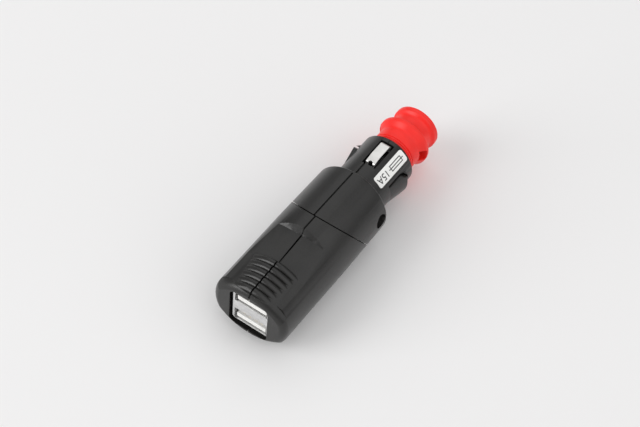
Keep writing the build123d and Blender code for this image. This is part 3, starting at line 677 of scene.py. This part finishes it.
def winding_tree(material):
    """Node tree that winds turns of round wire about a ring core."""
    tree = bpy.data.node_groups.new("core_winding", "GeometryNodeTree")
    tree.interface.new_socket("Geometry", in_out="OUTPUT", socket_type="NodeSocketGeometry")
    tree_input(tree, "Turns", "NodeSocketInt", 12)
    tree_input(tree, "Ring radius", "NodeSocketFloat", 0.004)
    tree_input(tree, "Loop width", "NodeSocketFloat", 0.003)
    tree_input(tree, "Loop height", "NodeSocketFloat", 0.005)
    tree_input(tree, "Wire radius", "NodeSocketFloat", 0.0003)
    tree_input(tree, "Centre", "NodeSocketVector", (0.0, 0.0, 0.0))
    nodes = tree.nodes
    links = tree.links
    given = nodes.new("NodeGroupInput").outputs
    loop = nodes.new("GeometryNodeCurvePrimitiveQuadrilateral")
    links.new(given["Loop width"], loop.inputs["Width"])
    links.new(given["Loop height"], loop.inputs["Height"])
    rounded = nodes.new("GeometryNodeFilletCurve")
    rounded.mode = "POLY"
    rounded.inputs["Count"].default_value = 4
    links.new(loop.outputs["Curve"], rounded.inputs["Curve"])
    links.new(given["Wire radius"], rounded.inputs["Radius"])
    section = nodes.new("GeometryNodeCurvePrimitiveCircle")
    section.inputs["Resolution"].default_value = 10
    links.new(given["Wire radius"], section.inputs["Radius"])
    turn = nodes.new("GeometryNodeCurveToMesh")
    links.new(rounded.outputs["Curve"], turn.inputs["Curve"])
    links.new(section.outputs["Curve"], turn.inputs["Profile Curve"])
    upright = nodes.new("GeometryNodeTransform")
    upright.inputs["Rotation"].default_value = (math.pi / 2, 0.0, 0.0)
    links.new(turn.outputs["Mesh"], upright.inputs["Geometry"])
    ring = nodes.new("GeometryNodeMeshCircle")
    links.new(given["Turns"], ring.inputs["Vertices"])
    links.new(given["Ring radius"], ring.inputs["Radius"])
    outward = nodes.new("FunctionNodeAlignRotationToVector")
    outward.axis = "X"
    links.new(nodes.new("GeometryNodeInputPosition").outputs["Position"], outward.inputs["Vector"])
    spread = nodes.new("GeometryNodeInstanceOnPoints")
    links.new(ring.outputs["Mesh"], spread.inputs["Points"])
    links.new(upright.outputs["Geometry"], spread.inputs["Instance"])
    links.new(outward.outputs["Rotation"], spread.inputs["Rotation"])
    placed = nodes.new("GeometryNodeTransform")
    links.new(spread.outputs["Instances"], placed.inputs["Geometry"])
    links.new(given["Centre"], placed.inputs["Translation"])
    real = nodes.new("GeometryNodeRealizeInstances")
    links.new(placed.outputs["Geometry"], real.inputs["Geometry"])
    painted = nodes.new("GeometryNodeSetMaterial")
    painted.inputs["Material"].default_value = material
    links.new(real.outputs["Geometry"], painted.inputs["Geometry"])
    smooth = nodes.new("GeometryNodeSetShadeSmooth")
    links.new(painted.outputs["Geometry"], smooth.inputs["Geometry"])
    links.new(smooth.outputs["Geometry"], nodes.new("NodeGroupOutput").inputs["Geometry"])
    return tree


def grown_mesh(tree, values):
    """Plain mesh that a node tree gives for the named values."""
    holder = bpy.data.objects.new("holder", bpy.data.meshes.new("holder"))
    bpy.context.scene.collection.objects.link(holder)
    modifier = holder.modifiers.new("grown", "NODES")
    modifier.node_group = tree
    for item in tree.interface.items_tree:
        if item.in_out == "INPUT":
            modifier[item.identifier] = values[item.name]
    graph = bpy.context.evaluated_depsgraph_get()
    mesh = bpy.data.meshes.new_from_object(holder.evaluated_get(graph))
    bpy.data.objects.remove(holder)
    if not mesh.polygons:
        raise RuntimeError(f"{tree.name} gave no faces")
    return mesh


class Inductor(Operator):
    """Finish the ring core and wind it with round wire"""

    bl_idname = "plug.inductor"
    bl_label = "Inductor"

    def execute(self, context):
        inductor = context.scene.plug.inductor
        metal = context.scene.plug.metal
        dress("inductor_core", "core_yellow", core_coating(), CORE_EDGE)
        core_low, core_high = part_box("inductor_core")
        wound_low, wound_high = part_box("inductor_winding")
        middle = (core_low + core_high) / 2
        outer = (wound_high.x - wound_low.x) / 2 - inductor.wire / 2
        height = wound_high.z - wound_low.z - inductor.wire
        overhang = (wound_high.x - core_high.x) * 2
        loop_width = bore_section(middle) + overhang - inductor.wire
        copper = drawn_metal("winding_copper", metal.copper, 0.3, (1.0, 1.0, 0.2))
        values = {
            "Turns": inductor.turns,
            "Ring radius": outer - loop_width / 2,
            "Loop width": loop_width,
            "Loop height": height,
            "Wire radius": inductor.wire / 2,
            "Centre": middle,
        }
        mesh = grown_mesh(winding_tree(copper), values)
        add_piece("winding_turns", mesh, "housing", "copper", copper, "inductor_winding")
        return {"FINISHED"}


def bore_section(middle):
    """Width of the ring core's section, between its bore and its outside."""
    points = [vertex.co for vertex in frame["nodes"]["inductor_core"].data.vertices]
    spans = [math.hypot(point.x - middle.x, point.y - middle.y) for point in points]
    return max(spans) - min(spans)


def label_frame():
    """Rear edge, radius and middle angle of the label on the nose."""
    points = [vertex.co for vertex in frame["nodes"]["rating_label"].data.vertices]
    heights = [math.hypot(point.y, point.z - AXIS_HEIGHT) for point in points]
    angles = [math.atan2(-point.y, point.z - AXIS_HEIGHT) for point in points]
    rear = min(point.x for point in points)
    return rear, max(heights), (max(angles) + min(angles)) / 2


def wrap(mesh, lift):
    """Lay a flat mesh on the label: local X runs to the front, local Y up round the nose."""
    rear, radius, middle = label_frame()
    for vertex in mesh.vertices:
        along, across = vertex.co.x, vertex.co.y
        angle = middle - across / radius
        reach = radius + lift + vertex.co.z
        vertex.co = (rear + along, -reach * math.sin(angle), AXIS_HEIGHT + reach * math.cos(angle))


def flat_bar(shape, from_x, to_x, from_y, to_y, thickness):
    """Thin bar of print, divided across so that it can follow the nose."""
    count = max(1, math.ceil((to_y - from_y) / BAR_STEP))
    rows = []
    for index in range(count + 1):
        y = from_y + (to_y - from_y) * index / count
        corners = ((from_x, 0.0), (to_x, 0.0), (to_x, thickness), (from_x, thickness))
        rows.append([shape.verts.new((x, y, z)) for x, z in corners])
    for low, high in zip(rows, rows[1:]):
        for index in range(4):
            after = (index + 1) % 4
            shape.faces.new((low[index], high[index], high[after], low[after]))
    shape.faces.new(rows[0])
    shape.faces.new(tuple(reversed(rows[-1])))


def symbol_mesh(label):
    """Fuse symbol: a box with the wire running through it."""
    shape = bmesh.new()
    half_line = label.line / 2
    rear = label.symbol_place - label.symbol_length / 2
    front = label.symbol_place + label.symbol_length / 2
    half = label.symbol_width / 2
    thick = label.ink_thickness
    flat_bar(shape, rear - label.wire_reach, front + label.wire_reach, -half_line, half_line, thick)
    for edge in (-half, half):
        flat_bar(shape, rear - half_line, front + half_line, edge - half_line, edge + half_line, thick)
    for edge in (rear, front):
        flat_bar(shape, edge - half_line, edge + half_line, half_line, half - half_line, thick)
        flat_bar(shape, edge - half_line, edge + half_line, half_line - half, -half_line, thick)
    bmesh.ops.recalc_face_normals(shape, faces=shape.faces)
    mesh = bpy.data.meshes.new("fuse_symbol")
    shape.to_mesh(mesh)
    shape.free()
    return mesh


def number_mesh(label):
    """Rating in plain digits, read from the front of the plug."""
    text = bpy.data.curves.new("rating_text", "FONT")
    text.body = label.number
    text.align_x = "CENTER"
    text.align_y = "CENTER"
    text.size = label.number_height / DIGIT_SHARE
    text.extrude = label.ink_thickness / 2
    holder = bpy.data.objects.new("rating_text", text)
    bpy.context.scene.collection.objects.link(holder)
    graph = bpy.context.evaluated_depsgraph_get()
    mesh = bpy.data.meshes.new_from_object(holder.evaluated_get(graph))
    bpy.data.objects.remove(holder)
    turn = Matrix.Rotation(math.pi, 4, "Z")
    mesh.transform(Matrix.Translation((label.number_place, 0.0, label.ink_thickness / 2)) @ turn)
    shape = bmesh.new()
    shape.from_mesh(mesh)
    bmesh.ops.remove_doubles(shape, verts=shape.verts, dist=MERGE_DISTANCE)
    for cut in range(-CUT_COUNT, CUT_COUNT + 1):
        everything = shape.verts[:] + shape.edges[:] + shape.faces[:]
        across = Vector((0.0, cut * label.number_height / (2 * CUT_COUNT), 0.0))
        bmesh.ops.bisect_plane(
            shape, geom=everything, dist=MERGE_DISTANCE, plane_co=across, plane_no=(0, 1, 0)
        )
    bmesh.ops.triangulate(shape, faces=shape.faces)
    bmesh.ops.recalc_face_normals(shape, faces=shape.faces)
    shape.to_mesh(mesh)
    shape.free()
    return mesh


class RatingLabel(Operator):
    """Finish the rating label and print its fuse symbol and number"""

    bl_idname = "plug.rating_label"
    bl_label = "Rating label"

    def execute(self, context):
        label = context.scene.plug.label
        dress("rating_label", "label_white", label_film(label))
        ink = label_ink(label)
        for name, mesh in (("fuse_symbol", symbol_mesh(label)), ("rating_number", number_mesh(label))):
            wrap(mesh, INK_LIFT)
            add_piece(name, mesh, "housing", "label_white", ink)
        return {"FINISHED"}


# Stage


def floor_finish(stage):
    """Pale matt floor with very faint variation."""
    finish = Finish("pale_floor", 0.9)
    floor = tuple(stage.floor)
    cloud = finish.noise(0.4, 2.0)
    finish.colour(finish.ramp(cloud, (0.2, tuple(0.985 * part for part in floor)), (0.8, floor)))
    finish.set("Specular IOR Level", 0.1)
    return finish.material


def studio_world(stage):
    """Even light from all round."""
    world = bpy.data.worlds.new("soft_studio")
    world.use_nodes = True
    fill = world.node_tree.nodes["Background"]
    fill.inputs["Color"].default_value = (1.0, 1.0, 1.0, 1.0)
    fill.inputs["Strength"].default_value = stage.fill
    return world


def raised(level, angle):
    """Direction that lies above a level one by an angle."""
    return math.cos(angle) * level.normalized() + math.sin(angle) * Vector((0.0, 0.0, 1.0))


def add_lamp(lamp, toward):
    """Object for a lamp that shines from the given direction."""
    lamp_object = bpy.data.objects.new(lamp.name, lamp)
    lamp_object.rotation_euler = toward.to_track_quat("Z", "Y").to_euler()
    bpy.context.scene.collection.objects.link(lamp_object)
    return lamp_object


def soft_light(name, strength, spread, toward):
    """Wide, far light that shines from the given direction."""
    lamp = bpy.data.lights.new(name, "SUN")
    lamp.energy = strength
    lamp.angle = spread
    add_lamp(lamp, toward)


def soft_box(name, power, width, height, toward):
    """Upright soft box that shines on the plug from the given direction."""
    lamp = bpy.data.lights.new(name, "AREA")
    lamp.shape = "RECTANGLE"
    lamp.size = width
    lamp.size_y = height
    lamp.energy = power
    lamp_object = add_lamp(lamp, toward)
    lamp_object.location = BOX_DISTANCE * toward.normalized()
    lamp_object.visible_camera = False


def floor_mesh():
    """Wide floor under the plug."""
    shape = bmesh.new()
    bmesh.ops.create_grid(shape, x_segments=8, y_segments=8, size=FLOOR_HALF)
    mesh = bpy.data.meshes.new("floor")
    shape.to_mesh(mesh)
    shape.free()
    return mesh


class Stage(Operator):
    """Set the plug on a pale floor under soft light, with the camera at its place"""

    bl_idname = "plug.stage"
    bl_label = "Stage"

    def execute(self, context):
        stage = context.scene.plug.stage
        scene = context.scene
        floor = bpy.data.objects.new("floor", floor_mesh())
        floor.data.materials.append(floor_finish(stage))
        scene.collection.objects.link(floor)
        scene.world = studio_world(stage)
        forward, right, up = sight(stage)
        ahead = Vector((forward.x, forward.y, 0.0)).normalized()
        leftward = Vector((-ahead.y, ahead.x, 0.0))
        left_toward = raised(leftward - LEFT_NEARER * ahead, stage.left_rise)
        soft_box("left_light", stage.left, stage.left_width, stage.left_height, left_toward)
        right_toward = raised(-leftward - RIGHT_NEARER * ahead, stage.right_rise)
        soft_light("right_light", stage.right, stage.right_spread, right_toward)
        soft_light("back_light", stage.back, stage.back_spread, raised(ahead, stage.back_rise))
        camera = bpy.data.cameras.new("camera")
        camera.lens = stage.lens
        camera.sensor_width = SENSOR_WIDTH
        camera.clip_start = CLIP_START
        camera_object = bpy.data.objects.new("camera", camera)
        turn = Matrix((right, up, -forward)).transposed().to_4x4()
        camera_object.matrix_world = Matrix.Translation(stage.camera_place) @ turn
        scene.collection.objects.link(camera_object)
        scene.camera = camera_object
        scene.view_settings.view_transform = "Standard"
        return {"FINISHED"}


def sight(stage):
    """Forward, right and up of the camera."""
    yaw = stage.camera_yaw
    flat = math.cos(stage.camera_pitch)
    forward = Vector((flat * math.cos(yaw), flat * math.sin(yaw), -math.sin(stage.camera_pitch)))
    level = forward.cross(Vector((0.0, 0.0, 1.0))).normalized()
    above = level.cross(forward)
    right = math.cos(stage.camera_roll) * level + math.sin(stage.camera_roll) * above
    up = math.cos(stage.camera_roll) * above - math.sin(stage.camera_roll) * level
    return forward, right, up


class PlugPanel(Panel):
    """Lists the plug's properties and the steps that finish it"""

    bl_idname = "VIEW3D_PT_plug"
    bl_label = "Charger plug"
    bl_space_type = "VIEW_3D"
    bl_region_type = "UI"
    bl_category = "Charger plug"

    def draw(self, context):
        plug = context.scene.plug
        for group_name in PlugProperties.__annotations__:
            group = getattr(plug, group_name)
            box = self.layout.box()
            box.label(text=group_name.capitalize())
            for property_name in type(group).__annotations__:
                box.prop(group, property_name)
        for step in STEPS:
            self.layout.operator(step.bl_idname)


PROPERTY_GROUPS = (
    HousingProperties,
    AdapterProperties,
    LabelProperties,
    MetalProperties,
    InductorProperties,
    StageProperties,
    PlugProperties,
)
STEPS = (
    Stage,
    HousingShells,
    HousingScrew,
    BayonetAdapter,
    LeafContacts,
    RatingLabel,
    CentrePin,
    UsbPort,
    CircuitBoard,
    Inductor,
    Leads,
)


def register():
    """Register the properties, the steps and the panel."""
    for group in (*PROPERTY_GROUPS, *STEPS, PlugPanel):
        bpy.utils.register_class(group)
    bpy.types.Scene.plug = PointerProperty(type=PlugProperties)


def unregister():
    """Take away what register has added."""
    del bpy.types.Scene.plug
    for group in reversed((*PROPERTY_GROUPS, *STEPS, PlugPanel)):
        bpy.utils.unregister_class(group)


def main():
    """Finish the plug step by step."""
    register()
    bpy.ops.plug.stage()
    bpy.ops.plug.housing_shells()
    bpy.ops.plug.housing_screw()
    bpy.ops.plug.bayonet_adapter()
    bpy.ops.plug.leaf_contacts()
    bpy.ops.plug.rating_label()
    bpy.ops.plug.centre_pin()
    bpy.ops.plug.usb_port()
    bpy.ops.plug.circuit_board()
    bpy.ops.plug.inductor()
    bpy.ops.plug.leads()


if __name__ == "__main__":
    main()
